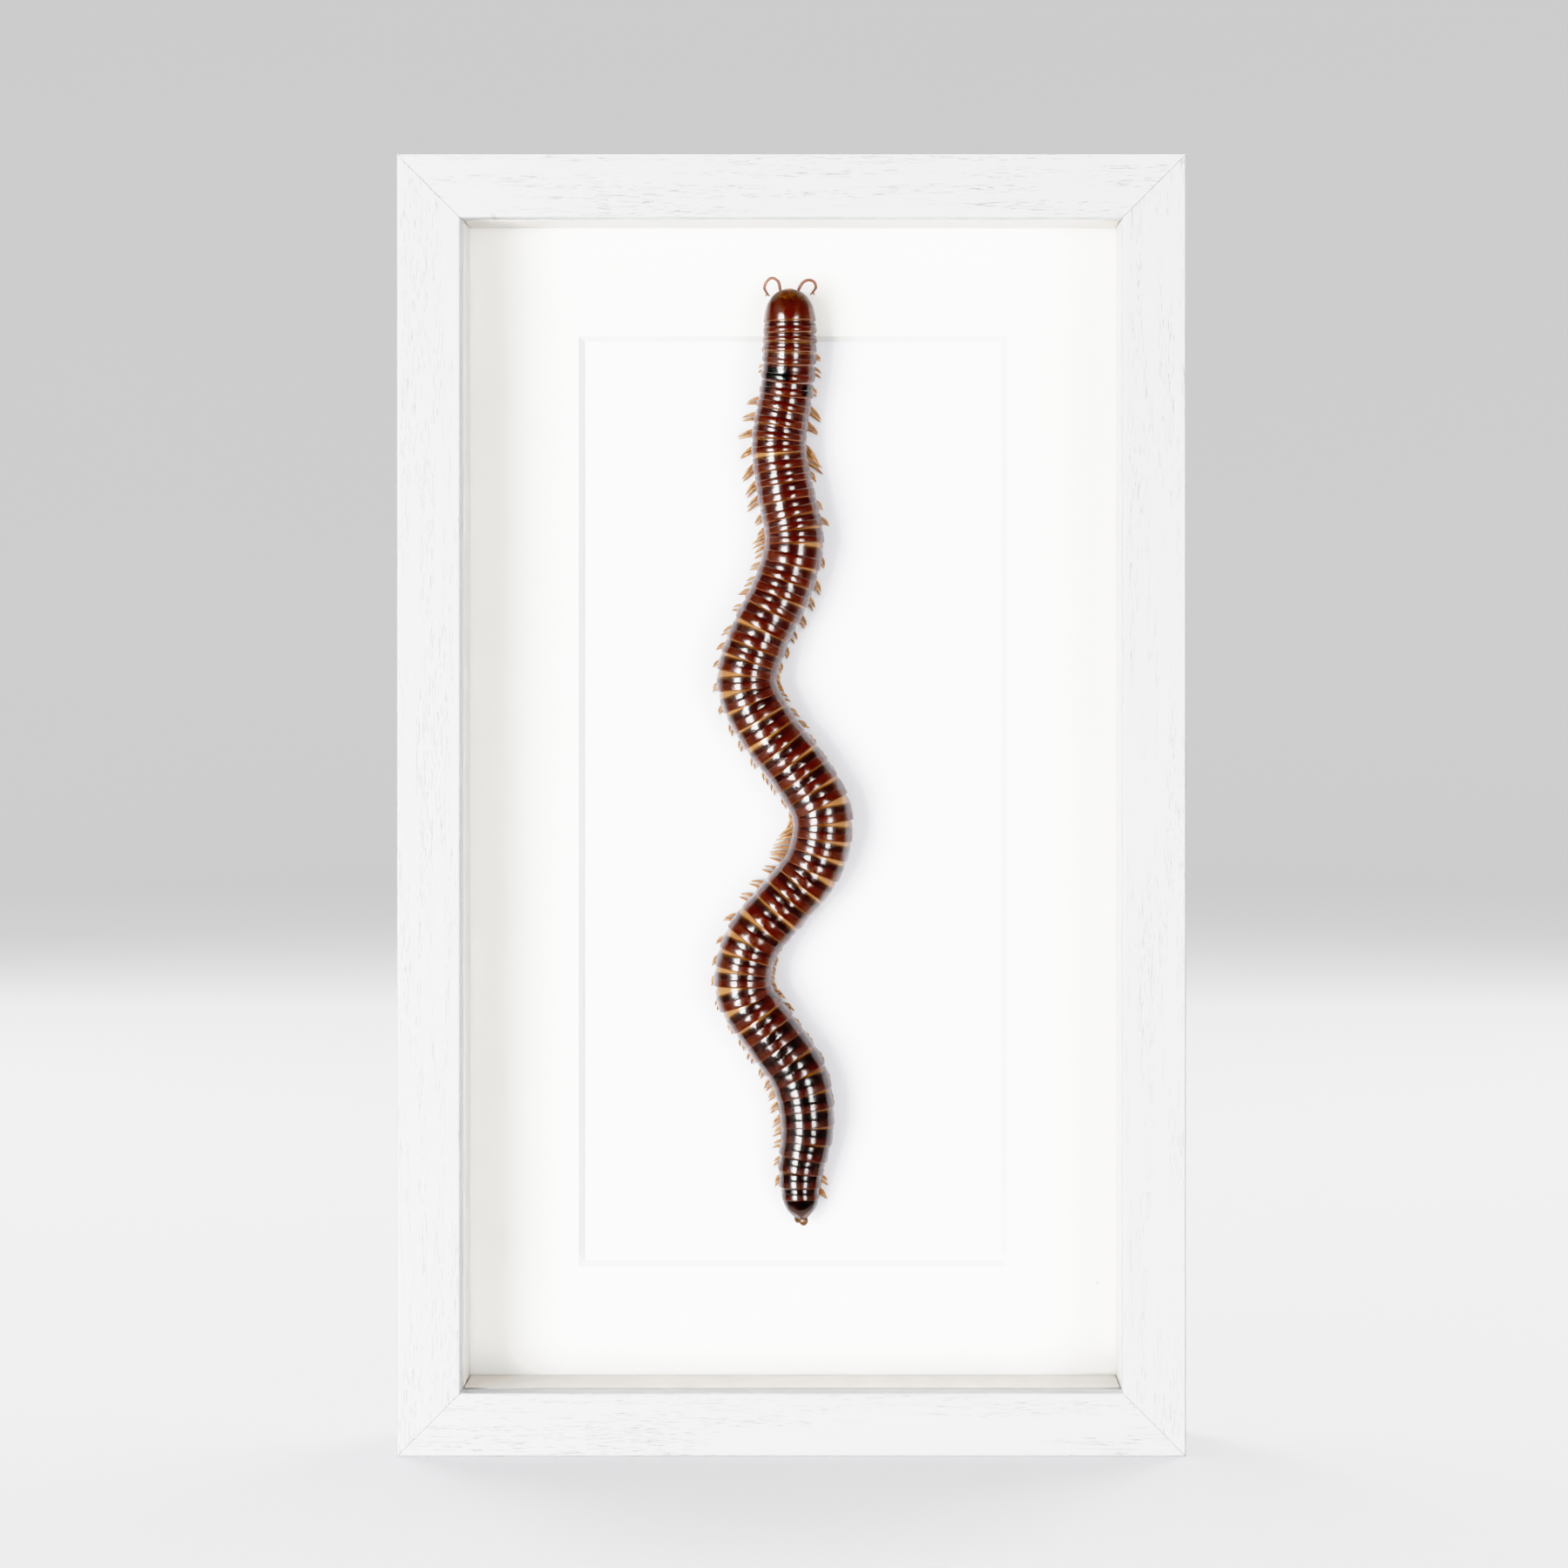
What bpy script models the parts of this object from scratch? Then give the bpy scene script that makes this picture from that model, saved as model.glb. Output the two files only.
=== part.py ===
"""Framed giant millipede: a mitred white box frame with a dried millipede behind glass.

Metres, +Z up. The frame stands on Z = 0 and faces -Y, with the origin under its middle.
Depths are measured back from the front of the frame.
"""

import math

import bmesh
import bpy
import numpy as np
from mathutils import Matrix, Vector

MM = 0.001

# Frame
FRAME_W, FRAME_H, FRAME_D = 200 * MM, 330 * MM, 38 * MM
FACE_W = 16 * MM
LIP_D = 6.5 * MM
REBATE_W = 6 * MM
ARRIS_R = 0.6 * MM
ARRIS_STEPS = 3
MITRE_GAP = 0.1 * MM

# Layers behind the lip
GAP = 0.3 * MM
GLASS_T = 2 * MM
SPACER_D = 19.1 * MM
SPACER_W = 5.5 * MM
MAT_T = 1.4 * MM
BOARD_T = 1.5 * MM
BACKING_T = 2.5 * MM
LAYER_PLAY = 0.5 * MM
WINDOW_W, WINDOW_H = 111.5 * MM, 242 * MM

# Back hardware
TAB_L, TAB_W, TAB_T = 13 * MM, 5 * MM, 0.5 * MM
SIDE_TAB_PITCH, END_TAB_PITCH = 105 * MM, 100 * MM
HANGER_W, HANGER_H, HANGER_T = 46 * MM, 9 * MM, 0.8 * MM
HANGER_DROP = 34 * MM
HANGER_TEETH = 7
RIVET_X = 19 * MM
HANGER_HOLE_R = 1.9 * MM
RIVET_HEAD_R, RIVET_HEAD_H, RIVET_SHANK_R = 2.8 * MM, 1.0 * MM, 1.5 * MM

# The millipede's middle line from head to tail, as X and Z in millimetres
BODY_PATH = (
    (-1.0, 297.4), (-0.7, 284.4), (-1.6, 271.3), (-3.6, 258.3), (-1.9, 245.5), (0.4, 232.6),
    (-2.8, 220.0), (-8.5, 208.2), (-11.9, 195.8), (-6.5, 184.0), (1.4, 173.5), (7.6, 162.1),
    (5.6, 149.4), (-2.3, 139.0), (-10.5, 128.8), (-12.6, 116.3), (-5.6, 105.2), (1.6, 94.3),
    (3.8, 81.5), (2.0, 68.5), (2.4, 55.2),
)
# Radius along it, as millimetres from the head and millimetres
BODY_RADIUS = (
    (8, 6.85), (12, 7.0), (30, 7.1), (50, 7.4), (64, 7.75), (80, 7.85), (150, 7.85), (170, 7.6),
    (190, 7.5), (205, 7.6), (226, 7.5), (238, 6.9), (244, 6.4), (248, 5.95), (251.5, 5.5), (255, 4.85),
)
# Hind edges of the rings where their spacing changes, as ring number and millimetres from the head
RING_STATIONS = (
    (0, 8.2), (1, 11.3), (3, 15.9), (4, 18.8), (5, 23.3), (8, 35.6), (10, 42.4), (11, 46.9), (12, 50.5),
    (14, 59.3), (16, 66.1), (17, 71.8), (20, 84.9), (22, 95.1), (26, 109.9), (29, 123.9), (34, 146.5),
    (36, 154.5), (40, 172.6), (42, 183.2), (45, 194.8), (47, 203.9), (50, 217.9), (52, 227.2),
    (56, 243.9), (58, 251.6), (59, 254.8),
)
HEAD_SECTIONS = ((0.5, 2.6), (2.0, 4.7), (4.4, 6.15), (8.2, 6.85))
TAIL_SECTIONS = ((257.4, 3.1), (259.2, 1.5), (261.0, 1.35))
BODY_SIDES = 16
BELLY = 0.9
FOLD_STEP = 0.45 * MM
STANCE = 0.6 * MM
MAT_LIFT = 1.7 * MM
LIFT_FROM, LIFT_TO = 13.5, 27.0

# Legs: how far the tips stand out past the body, as millimetres from the head and millimetres
LEFT_REACH = (
    (12, -0.5), (28, 2.6), (68, 2.4), (100, 1.6), (134, 1.6), (142, 3.2), (160, 3.4), (180, 1.8), (190, 1.0),
    (202, 1.1), (217, 2.6), (232, 2.5), (248, 0.9),
)
RIGHT_REACH = (
    (12, 0.6), (30, 2.6), (40, 1.5), (50, 2.1), (80, 1.8), (97, 0.8), (122, 1.0), (128, -1.0),
    (176, -1.0), (186, 0.7), (205, 0.6), (211, -1.0), (246, -1.0), (250, 2.2),
)
FIRST_LEG_RING, LAST_LEG_RING = 1, 57
LEG_SWEEP = 1.5 * MM
KNEE_W = 0.7 * MM
KNEE_SHARE = 0.4
LEFT_ANTENNA = ((-3.2, 297.2), (-3.7, 299.5), (-5.4, 300.5), (-6.8, 299.4), (-7.3, 297.9), (-6.5, 296.4))
RIGHT_ANTENNA = ((1.4, 297.2), (2.4, 299.0), (3.8, 299.9), (5.4, 299.6), (6.0, 298.2), (5.1, 296.8))
ANTENNA_W = 0.65 * MM

# Places that follow from the sizes
GLASS_Y = LIP_D + GAP
SPACER_Y = GLASS_Y + GLASS_T + GAP
MAT_Y = SPACER_Y + SPACER_D + GAP
BOARD_Y = MAT_Y + MAT_T + GAP
BACKING_Y = BOARD_Y + BOARD_T + GAP
BACK_Y = BACKING_Y + BACKING_T
WALL_W, WALL_H = FRAME_W - 2 * (FACE_W - REBATE_W), FRAME_H - 2 * (FACE_W - REBATE_W)
LAYER_W, LAYER_H = WALL_W - 2 * LAYER_PLAY, WALL_H - 2 * LAYER_PLAY
MIDDLE_Z = FRAME_H / 2
RIGHT_LEG_FACE, LEFT_LEG_FACE = BODY_SIDES // 2 - 2, BODY_SIDES // 2
RIGHT_CHEEK_FACE, LEFT_CHEEK_FACE = BODY_SIDES // 4 - 1, 3 * BODY_SIDES // 4 - 1


def clear_scene():
    for obj in list(bpy.data.objects):
        bpy.data.objects.remove(obj, do_unlink=True)


def collection(name):
    group = bpy.data.collections.new(name)
    bpy.context.scene.collection.children.link(group)
    return group


def material(name, colour, roughness, metallic=0.0, transmission=0.0):
    mat = bpy.data.materials.new(name)
    mat.use_nodes = True
    shader = mat.node_tree.nodes["Principled BSDF"]
    shader.inputs["Base Color"].default_value = (*colour, 1)
    shader.inputs["Roughness"].default_value = roughness
    shader.inputs["Metallic"].default_value = metallic
    shader.inputs["Transmission Weight"].default_value = transmission
    return mat


def y_at(depth):
    return depth - FRAME_D / 2


def add_object(name, data, mat, group):
    obj = bpy.data.objects.new(name, data)
    data.materials.append(mat)
    group.objects.link(obj)
    return obj


def add_mesh(name, bm, mat, group, smooth=False):
    bmesh.ops.recalc_face_normals(bm, faces=bm.faces)
    mesh = bpy.data.meshes.new(name)
    bm.to_mesh(mesh)
    bm.free()
    if smooth:
        mesh.shade_smooth()
        mesh.set_sharp_from_angle(angle=math.radians(40))
    return add_object(name, mesh, mat, group)


def skin(bm, front, back):
    """Joins two loops of points with four-sided faces, in order round the loops."""
    n = len(front)
    return [
        bm.faces.new((front[k], front[(k + 1) % n], back[(k + 1) % n], back[k])) for k in range(n)
    ]


def slab(name, size, front, x, z, mat, group):
    """A flat board of the given width, thickness and height, its front face at a depth."""
    bm = bmesh.new()
    bmesh.ops.create_cube(bm, size=1, matrix=Matrix.Diagonal((*size, 1)))
    obj = add_mesh(name, bm, mat, group)
    obj.location = (x, y_at(front + size[1] / 2), z)
    return obj


def rail_profile():
    """The moulding's section as (distance in from the outer edge, depth), with eased front edges."""

    def eased(centre, start):
        turns = [start + math.pi / 2 * k / ARRIS_STEPS for k in range(ARRIS_STEPS + 1)]
        return [(centre + ARRIS_R * math.cos(a), ARRIS_R - ARRIS_R * math.sin(a)) for a in turns]

    front = eased(FACE_W - ARRIS_R, 0) + eased(ARRIS_R, math.pi / 2)
    rebate = FACE_W - REBATE_W
    return front + [(0, FRAME_D), (rebate, FRAME_D), (rebate, LIP_D), (FACE_W, LIP_D)]


def rail(name, length, half_span, angle, mat, group):
    """A rail of the frame, mitred at both ends, turned about the frame's middle to its side."""
    bm = bmesh.new()
    ends = []
    for side in (-1, 1):
        ring = []
        for across, depth in rail_profile():
            along = length / 2 - across - MITRE_GAP * math.sqrt(0.5)
            ring.append(bm.verts.new((side * along, y_at(depth), half_span - across)))
        bm.faces.new(ring)
        ends.append(ring)
    skin(bm, *ends)
    obj = add_mesh(name, bm, mat, group)
    obj.rotation_euler.y = angle
    obj.location.z = MIDDLE_Z
    return obj


def spacers(mat, group):
    """Four strips round the inside of the rebate, butted with the long ones outermost."""
    x = LAYER_W / 2 - SPACER_W / 2
    for name, side in (("spacer_left", -1), ("spacer_right", 1)):
        slab(name, (SPACER_W, SPACER_D, LAYER_H), SPACER_Y, side * x, MIDDLE_Z, mat, group)
    z = LAYER_H / 2 - SPACER_W / 2
    width = LAYER_W - 2 * (SPACER_W + GAP)
    for name, side in (("spacer_bottom", -1), ("spacer_top", 1)):
        slab(name, (width, SPACER_D, SPACER_W), SPACER_Y, 0, MIDDLE_Z + side * z, mat, group)


def window_mat(mat, group, cutters):
    """A card with a window whose edge is cut at 45 degrees, wider at the front."""
    card = slab("window_mat", (LAYER_W, MAT_T, LAYER_H), MAT_Y, 0, MIDDLE_Z, mat, group)
    bm = bmesh.new()
    past = 1 * MM
    rings = []
    for inset in (-past, MAT_T + past):
        w, h = WINDOW_W / 2 - inset, WINDOW_H / 2 - inset
        corners = [(-w, -h), (w, -h), (w, h), (-w, h)]
        ring = [bm.verts.new((x, y_at(MAT_Y + inset), MIDDLE_Z + z)) for x, z in corners]
        bm.faces.new(ring)
        rings.append(ring)
    skin(bm, *rings)
    cutter = add_mesh("window_cutter", bm, mat, cutters)
    cutter.hide_render = True
    cutter.display_type = "WIRE"
    cut = card.modifiers.new("window", "BOOLEAN")
    cut.object = cutter


def back_tabs(mat, group):
    """Bendable tabs over the backing board, each with its outer end at the rebate's wall."""
    out = TAB_L / 2 + GAP
    spots = [(side * (WALL_W / 2 - out), k * SIDE_TAB_PITCH) for side in (-1, 1) for k in (-1, 0, 1)]
    sizes = [(TAB_L, TAB_T, TAB_W)] * len(spots)
    ends = [(k * END_TAB_PITCH / 2, side * (WALL_H / 2 - out)) for side in (-1, 1) for k in (-1, 1)]
    sizes += [(TAB_W, TAB_T, TAB_L)] * len(ends)
    for number, ((x, z), size) in enumerate(zip(spots + ends, sizes), 1):
        slab(f"back_tab_{number}", size, BACK_Y + GAP, x, MIDDLE_Z + z, mat, group)


def hanger(mat, group):
    """A stamped plate with a toothed slot and a hole near each end."""
    w, h = HANGER_W / 2, HANGER_H / 2
    shoulder, slot_w, slot_h = 7 * MM, 13 * MM, 1.6 * MM
    tooth = 2 * slot_w / HANGER_TEETH
    right = [(w, -h / 2), (w, h / 2), (w - shoulder, h)]
    left = [(-w + shoulder, h), (-w, h / 2), (-w, -h / 2)]
    outline = [(-w + shoulder, -h), (w - shoulder, -h), *right, *left]
    slot = [(-slot_w, -slot_h)]
    for k in range(HANGER_TEETH):
        foot = -slot_w + k * tooth
        slot += [(foot, slot_h / 5), (foot + tooth / 2, slot_h)]
    slot += [(slot_w, slot_h / 5), (slot_w, -slot_h)]
    splines = [outline, slot]
    for side in (-1, 1):
        turns = [2 * math.pi * k / 10 for k in range(10)]
        hole = [(HANGER_HOLE_R * math.cos(a), HANGER_HOLE_R * math.sin(a)) for a in turns]
        splines.append([(side * RIVET_X + x, z) for x, z in hole])
    curve = bpy.data.curves.new("hanger", "CURVE")
    curve.dimensions = "2D"
    curve.fill_mode = "BOTH"
    curve.extrude = HANGER_T / 2
    for points in splines:
        spline = curve.splines.new("POLY")
        spline.points.add(len(points) - 1)
        spline.use_cyclic_u = True
        for point, (x, z) in zip(spline.points, points):
            point.co = (x, z, 0, 1)
    obj = add_object("hanger", curve, mat, group)
    obj.rotation_euler.x = math.pi / 2
    obj.location = (0, y_at(BACK_Y + GAP + HANGER_T / 2), FRAME_H - HANGER_DROP)


def rivet(name, x, mat, group):
    """A domed head on a shank that passes through the hanger's hole."""
    shank_l = HANGER_T + GAP
    turns = [math.pi / 2 * k / 3 for k in range(4)]
    dome = [(RIVET_HEAD_R * math.sin(a), shank_l + RIVET_HEAD_H * math.cos(a)) for a in turns]
    points = [*dome, (RIVET_SHANK_R, shank_l), (RIVET_SHANK_R, 0), (0, 0)]
    mesh = bpy.data.meshes.new(name)
    links = [(k, k + 1) for k in range(len(points) - 1)]
    mesh.from_pydata([(r, 0, z) for r, z in points], links, [])
    obj = add_object(name, mesh, mat, group)
    turn = obj.modifiers.new("turn", "SCREW")
    turn.steps = turn.render_steps = 14
    turn.use_merge_vertices = True
    turn.merge_threshold = 1e-5
    obj.rotation_euler.x = -math.pi / 2
    obj.location = (x, y_at(BACK_Y + GAP), FRAME_H - HANGER_DROP)


class Path:
    """A smooth line through the body's points, read by the millimetres from its start."""

    def __init__(self, points, samples=40):
        knots = [Vector(point) for point in points]
        knots = [2 * knots[0] - knots[1], *knots, 2 * knots[-1] - knots[-2]]
        dense = []
        for p0, p1, p2, p3 in zip(knots, knots[1:], knots[2:], knots[3:]):
            for u in np.arange(samples) / samples:
                bend = (2 * p0 - 5 * p1 + 4 * p2 - p3) * u**2 + (3 * p1 - p0 - 3 * p2 + p3) * u**3
                dense.append(0.5 * (2 * p1 + (p2 - p0) * u + bend))
        dense.append(knots[-2])
        self.points = np.array(dense)
        steps = np.linalg.norm(np.diff(self.points, axis=0), axis=1)
        self.lengths = np.concatenate([[0], np.cumsum(steps)])

    def at(self, s):
        return Vector([np.interp(s, self.lengths, self.points[:, k]) for k in (0, 1)])

    def along(self, s):
        return (self.at(s + 1.5) - self.at(s - 1.5)).normalized()


def from_table(table, s):
    return float(np.interp(s, *zip(*table)))


def axis_depth(s, radius):
    """How deep the middle line lies, with the legs standing on the board and the head on the mat."""
    t = min(max((LIFT_TO - s) / (LIFT_TO - LIFT_FROM), 0), 1)
    lift = MAT_LIFT * t * t * (3 - 2 * t)
    return BOARD_Y - GAP - lift - STANCE - BELLY * radius


class Section:
    """A place across the body: its middle, its radius, and the ways to the tail and to the right."""

    def __init__(self, path, s, along=None, radius=None):
        x, z = path.at(s) * MM
        girth = from_table(BODY_RADIUS, s) * MM
        tx, tz = along or path.along(s)
        self.radius = radius or girth
        self.axis = Vector((x, y_at(axis_depth(s, girth)), z))
        self.tail = Vector((tx, 0, tz))
        self.right = Vector((-tz, 0, tx))

    def point(self, right, up, tail=0.0):
        return self.axis + self.right * right + Vector((0, -up, 0)) + self.tail * tail

    def loop(self, bm, shrink=0.0):
        r = self.radius - shrink
        verts = []
        for k in range(BODY_SIDES):
            a = 2 * math.pi * (k + 0.5) / BODY_SIDES
            up = max(r * math.cos(a), -BELLY * r)
            verts.append(bm.verts.new(self.point(r * math.sin(a), up)))
        return verts


def cap(bm, loop, tip):
    """Closes a loop with triangles that meet in a point."""
    face = bm.faces.new(loop)
    bmesh.ops.poke(bm, faces=[face])["verts"][0].co = tip


def grow(bm, face, points, width):
    """Draws a face out through the points as a thin limb that ends in a point."""
    for start, end in zip(points, points[1:]):
        face = bmesh.ops.extrude_discrete_faces(bm, faces=[face])["faces"][0]
        middle = face.calc_center_median()
        way = (end - start).normalized()
        for vert in face.verts:
            out = vert.co - middle
            out -= way * out.dot(way)
            vert.co = start + out.normalized() * width * math.sqrt(0.5)
    bmesh.ops.poke(bm, faces=[face])["verts"][0].co = points[-1]


def leg(bm, face, place, station, side):
    """A leg from under a ring, out to a knee near the body's edge and on to a tip on the board."""
    r = place.radius
    out = r + from_table(RIGHT_REACH if side > 0 else LEFT_REACH, station) * MM
    floor = -(BELLY * r + STANCE)
    back = (face.calc_center_median() - place.axis).dot(place.tail)
    knee_out = (1 - KNEE_SHARE) * r + KNEE_SHARE * out
    knee = place.point(side * knee_out, floor + 0.75 * KNEE_W, back + KNEE_SHARE * LEG_SWEEP)
    tip = place.point(side * out, floor, back + LEG_SWEEP)
    grow(bm, face, [knee, tip], KNEE_W)


def millipede(mat, group):
    """Head, rings, legs, antennae and tail as one closed body."""
    path = Path(BODY_PATH)
    edges = [from_table(RING_STATIONS, ring) for ring in range(RING_STATIONS[-1][0] + 1)]
    bm = bmesh.new()

    loops = [Section(path, s, radius=r * MM).loop(bm) for s, r in HEAD_SECTIONS]
    cap(bm, loops[0], Section(path, 0).axis)
    cheeks = [skin(bm, front, back) for front, back in zip(loops, loops[1:])][0]
    last = loops[-1]

    limbs = []
    for ring, (start, end) in enumerate(zip(edges, edges[1:])):
        station = (start + end) / 2
        way = path.along(station)
        crown = Section(path, station, way)
        fold_loop = Section(path, start).loop(bm, FOLD_STEP)
        crown_loop = crown.loop(bm)
        hind_loop = Section(path, end, way).loop(bm)
        skin(bm, last, fold_loop)
        halves = [skin(bm, fold_loop, crown_loop), skin(bm, crown_loop, hind_loop)]
        last = hind_loop
        if FIRST_LEG_RING <= ring <= LAST_LEG_RING:
            for half in halves:
                limbs.append((half[RIGHT_LEG_FACE], crown, station, 1))
                limbs.append((half[LEFT_LEG_FACE], crown, station, -1))

    for s, r in TAIL_SECTIONS:
        loop = Section(path, s, radius=r * MM).loop(bm)
        skin(bm, last, loop)
        last = loop
    cap(bm, last, Section(path, path.lengths[-1]).axis)

    for limb in limbs:
        leg(bm, *limb)
    depth = Section(path, 0).axis.y
    for side, points in ((RIGHT_CHEEK_FACE, RIGHT_ANTENNA), (LEFT_CHEEK_FACE, LEFT_ANTENNA)):
        spots = [Vector((x * MM, depth, z * MM)) for x, z in points]
        grow(bm, cheeks[side], spots, ANTENNA_W)
    add_mesh("millipede", bm, mat, group, smooth=True)


def build():
    clear_scene()
    parts = collection("framed_giant_millipede")
    cutters = collection("cutters")

    paint = material("white_paint", (0.89, 0.89, 0.91), 0.45)
    lining = material("spacer_paint", (0.80, 0.78, 0.76), 0.6)
    card = material("mat_card", (0.93, 0.92, 0.91), 0.9)
    board = material("white_board", (0.92, 0.92, 0.94), 0.85)
    fibreboard = material("fibreboard", (0.36, 0.22, 0.12), 0.8)
    pane = material("clear_glass", (1, 1, 1), 0.0, transmission=1.0)
    shell = material("millipede_shell", (0.065, 0.010, 0.006), 0.2)
    steel = material("tab_steel", (0.45, 0.45, 0.46), 0.4, metallic=1.0)
    brass = material("plated_brass", (0.62, 0.45, 0.18), 0.35, metallic=1.0)

    rail("rail_top", FRAME_W, FRAME_H / 2, 0, paint, parts)
    rail("rail_right", FRAME_H, FRAME_W / 2, math.pi / 2, paint, parts)
    rail("rail_bottom", FRAME_W, FRAME_H / 2, math.pi, paint, parts)
    rail("rail_left", FRAME_H, FRAME_W / 2, -math.pi / 2, paint, parts)
    slab("glass", (LAYER_W, GLASS_T, LAYER_H), GLASS_Y, 0, MIDDLE_Z, pane, parts)
    spacers(lining, parts)
    window_mat(card, parts, cutters)
    slab("mounting_board", (LAYER_W, BOARD_T, LAYER_H), BOARD_Y, 0, MIDDLE_Z, board, parts)
    slab("backing_board", (LAYER_W, BACKING_T, LAYER_H), BACKING_Y, 0, MIDDLE_Z, fibreboard, parts)
    back_tabs(steel, parts)
    hanger(brass, parts)
    rivet("rivet_left", -RIVET_X, brass, parts)
    rivet("rivet_right", RIVET_X, brass, parts)
    millipede(shell, parts)


build()
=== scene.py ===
"""Framed giant millipede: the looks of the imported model.

Sizes here are in millimetres, and the meshes are in metres in the part's own frame: X to the
viewer's right, Y away from the viewer, Z up. Depths are measured back from the frame's front.
"""

import math

import bmesh
import bpy
import numpy as np
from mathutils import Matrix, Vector

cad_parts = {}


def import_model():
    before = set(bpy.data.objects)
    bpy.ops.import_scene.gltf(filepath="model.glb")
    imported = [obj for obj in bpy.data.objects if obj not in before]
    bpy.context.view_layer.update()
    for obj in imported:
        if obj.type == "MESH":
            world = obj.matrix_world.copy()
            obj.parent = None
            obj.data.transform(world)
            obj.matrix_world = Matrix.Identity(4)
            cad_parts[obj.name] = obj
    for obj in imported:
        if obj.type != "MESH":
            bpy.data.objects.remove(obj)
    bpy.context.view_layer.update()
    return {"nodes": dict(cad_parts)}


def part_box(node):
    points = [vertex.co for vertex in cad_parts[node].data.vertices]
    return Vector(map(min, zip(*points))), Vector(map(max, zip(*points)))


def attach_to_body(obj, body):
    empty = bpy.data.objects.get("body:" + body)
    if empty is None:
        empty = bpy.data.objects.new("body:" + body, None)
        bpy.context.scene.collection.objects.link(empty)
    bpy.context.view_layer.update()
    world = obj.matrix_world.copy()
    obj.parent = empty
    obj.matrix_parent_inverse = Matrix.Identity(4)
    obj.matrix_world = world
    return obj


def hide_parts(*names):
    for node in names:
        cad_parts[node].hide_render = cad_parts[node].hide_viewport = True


MM = 0.001
SEED = 7

# The frame's layers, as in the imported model
FRAME_H, FRAME_D = 330.0, 38.0
WINDOW_W, WINDOW_H = 111.5, 242.0
BOARD_DEPTH = 30.2
# The play between the legs and the board
GAP = 0.3
# Chips in the paint on the rails' edges and a speck on the mat, as X and Z
CHIPS = ((-75.4, 314.4), (-61.5, 329.7), (99.2, 328.3))
SPECKS = ((79.1, 39.9),)
# How far a steel tab's hidden end goes on into the wood
TAB_ROOT = 1.2

# The millipede's middle line from head to tail, as X and Z
BODY_PATH = (
    (-1.0, 297.4), (-0.7, 284.4), (-1.6, 271.3), (-3.6, 258.3), (-1.9, 245.5), (0.4, 232.6),
    (-2.8, 220.0), (-8.5, 208.2), (-11.9, 195.8), (-6.5, 184.0), (1.4, 173.5), (7.6, 162.1),
    (5.6, 149.4), (-2.3, 139.0), (-10.5, 128.8), (-12.6, 116.3), (-5.6, 105.2), (1.6, 94.3),
    (3.8, 81.5), (2.0, 68.5), (2.4, 55.2),
)
# Tables below are read by the distance along that line, from the head
BODY_RADIUS = (
    (8, 6.85), (12, 7.0), (30, 7.1), (50, 7.4), (64, 7.75), (80, 7.85), (150, 7.85), (170, 7.6),
    (190, 7.5), (205, 7.6), (226, 7.5), (238, 6.9), (244, 6.4), (248, 5.95), (251.5, 5.5), (255, 4.85),
)
# Hind edges of the rings where their spacing changes, by ring number
RING_STATIONS = (
    (0, 8.2), (1, 11.3), (3, 15.9), (4, 18.8), (5, 23.3), (8, 35.6), (10, 42.4), (11, 46.9), (12, 50.5),
    (14, 59.3), (16, 66.1), (17, 71.8), (20, 84.9), (22, 95.1), (26, 109.9), (29, 123.9), (34, 146.5),
    (36, 154.5), (40, 172.6), (42, 183.2), (45, 194.8), (47, 203.9), (50, 217.9), (52, 227.2),
    (56, 243.9), (58, 251.6), (59, 254.8),
)
# The head shield's half-width and height by the distance from its front, and how boxy it is there
HEAD_WIDTH = (
    (0.0, 0.9), (0.2, 1.9), (0.45, 2.7), (1.1, 3.8), (2.0, 4.75), (3.4, 5.75), (4.7, 6.25), (6.5, 6.6),
    (8.2, 6.85),
)
HEAD_HEIGHT = (
    (0.0, 4.3), (0.2, 4.9), (0.6, 5.3), (1.5, 5.7), (3.0, 6.2), (5.0, 6.65), (6.6, 6.82), (8.2, 6.85),
)
HEAD_BOXY = ((0.0, 0.5), (2.0, 0.7), (5.0, 0.9), (8.2, 1.0))
# Loops that close its front: how far ahead of the shield's last loop, their half-width and height
NOSE = ((0.12, 0.85, 3.0), (0.14, 0.3, 2.2))
# Its hind rim is shaped as a ring's: the length and arch of that band, and how many rows of it are used
SHIELD_BAND, SHIELD_ARCH, SHIELD_ROWS = 2.4, 0.06, 9
# Where the loops of the shield itself run from, ahead of its hind edge, and to, behind its front
SHIELD_FROM, SHIELD_TO = 0.75, 0.02
# Radii of the tapering end, of its first loop under the last ring, and of the lobes behind it
TAIL_RADIUS = ((254.2, 4.8), (255.9, 4.45), (257.4, 3.75), (258.7, 2.75), (259.6, 1.8), (260.0, 1.4))
TAIL_ROOT = (-1.8, 4.55)
TAIL_LOBE = ((258.9, 1.0), (259.9, 1.3), (260.8, 1.4), (261.5, 1.05), (261.8, 0.4))
# Both lobes: how far to the right, how far back, and their size
LOBES = ((0.45, 0.0, 0.9), (-0.95, -0.75, 0.75))
# Colours there follow a ring's: a stretch of one long ring, and the pale front of a short one. Each is
# given by its place ahead of the ring's hind edge, the ring's length, and where that edge lies
CONE_BAND, CONE_PITCH, CONE_END = (5.4, 2.2), 9.0, 262.0
LOBE_BAND, LOBE_PITCH, LOBE_END = 5.0, 4.8, 216.0
# The value that hides a ring's pale front
NO_PALE = -1.0
# How far down the belly reaches, as a share of the radius, and how high the legs hold it
BELLY = 0.9
STANCE = 0.6
# How far the head is lifted to lie on the mat, and from where to where along the body that fades
MAT_LIFT, LIFT_FROM, LIFT_TO = 1.7, 13.5, 27.0

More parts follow.
